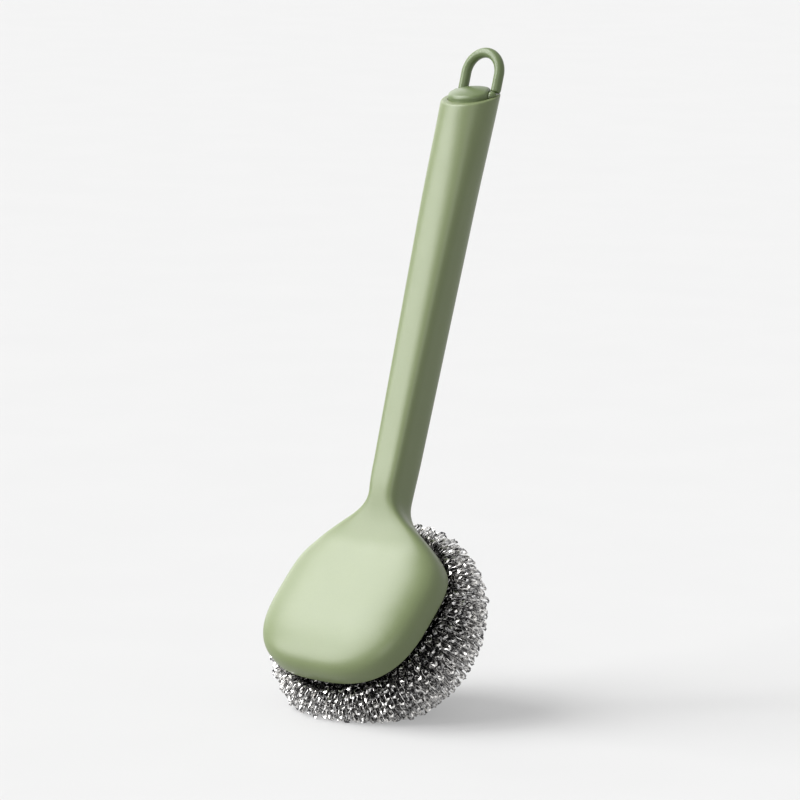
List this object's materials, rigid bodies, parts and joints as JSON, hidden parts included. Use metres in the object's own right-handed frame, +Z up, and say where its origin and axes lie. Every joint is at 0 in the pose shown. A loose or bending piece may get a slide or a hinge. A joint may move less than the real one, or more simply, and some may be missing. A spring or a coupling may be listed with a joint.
{
  "type": "dish scrubber",
  "caption": "Long-handled dish scrubber with a rounded cover head over a ball of knitted steel wire, and a folding hanging loop.",
  "frame": {"origin": "centre of the ball's flattened foot, on the surface that the scrubber stands on", "axes": "+Z up, +X to the head's side, +Y towards the back, the way the handle leans; symmetry plane X = 0"},
  "size_m": [0.082, 0.0948, 0.2339],
  "materials": {
    "sage_plastic": "matt with a very fine grain",
    "dark_sage_plastic": "satin",
    "inner_plastic": "matt",
    "grip_rubber": "matt",
    "stainless_wire": "bright drawn flat wire",
    "zinc_plate": "zinc plated"
  },
  "bodies": {
    "handle": {"handle_body": "sage_plastic", "end_plug": "dark_sage_plastic", "socket_plate": "inner_plastic", "socket_screw_1": "zinc_plate", "socket_screw_2": "zinc_plate", "socket_screw_3": "zinc_plate", "socket_screw_4": "zinc_plate"},
    "loop": {"hanging_loop": "dark_sage_plastic"},
    "refill": {"refill_carrier": "inner_plastic", "grip_ring": "grip_rubber", "clamp_disc": "zinc_plate", "clamp_screw": "zinc_plate", "scourer_ball": "stainless_wire", "gather_tie": "stainless_wire"}
  },
  "joints": [
    {"name": "loop_pivot", "type": "hinge", "parent": "handle", "child": "loop", "pos_m": [0, 0.06497, 0.21876], "axis": [-1, 0, 0], "range_deg": [0, 35]},
    {"name": "refill_pull", "type": "slide", "parent": "handle", "child": "refill", "axis": [0, 0.723, -0.6909], "range_m": [0, 0.03]}
  ]
}
